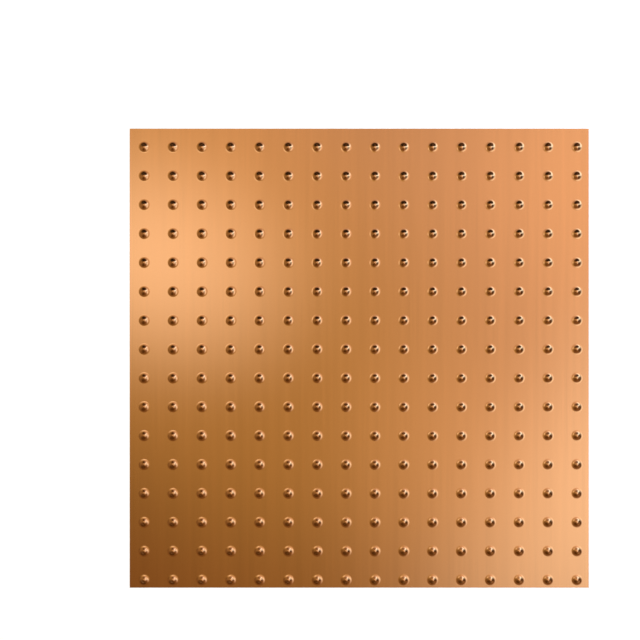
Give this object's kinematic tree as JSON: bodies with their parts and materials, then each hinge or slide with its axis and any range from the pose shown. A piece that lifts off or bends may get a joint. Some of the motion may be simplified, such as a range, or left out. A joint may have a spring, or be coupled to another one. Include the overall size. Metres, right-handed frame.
{
  "type": "vinyl ceiling tile",
  "caption": "Square thin vinyl ceiling tile with a copper-look face, formed all over with a regular grid of small hollow domes, for a lay-in ceiling grid or for gluing up.",
  "frame": {"origin": "middle of the flat back, which lies on the floor with the domes up", "axes": "+Z out of the domed face, X and Y along the tile's edges, with -Y towards the edge that the dome grid is nearest to"},
  "size_m": [0.6032, 0.6032, 0.0035],
  "materials": {
    "copper_vinyl": "satin"
  },
  "bodies": {
    "root": {"ceiling_tile": "copper_vinyl"}
  },
  "joints": []
}
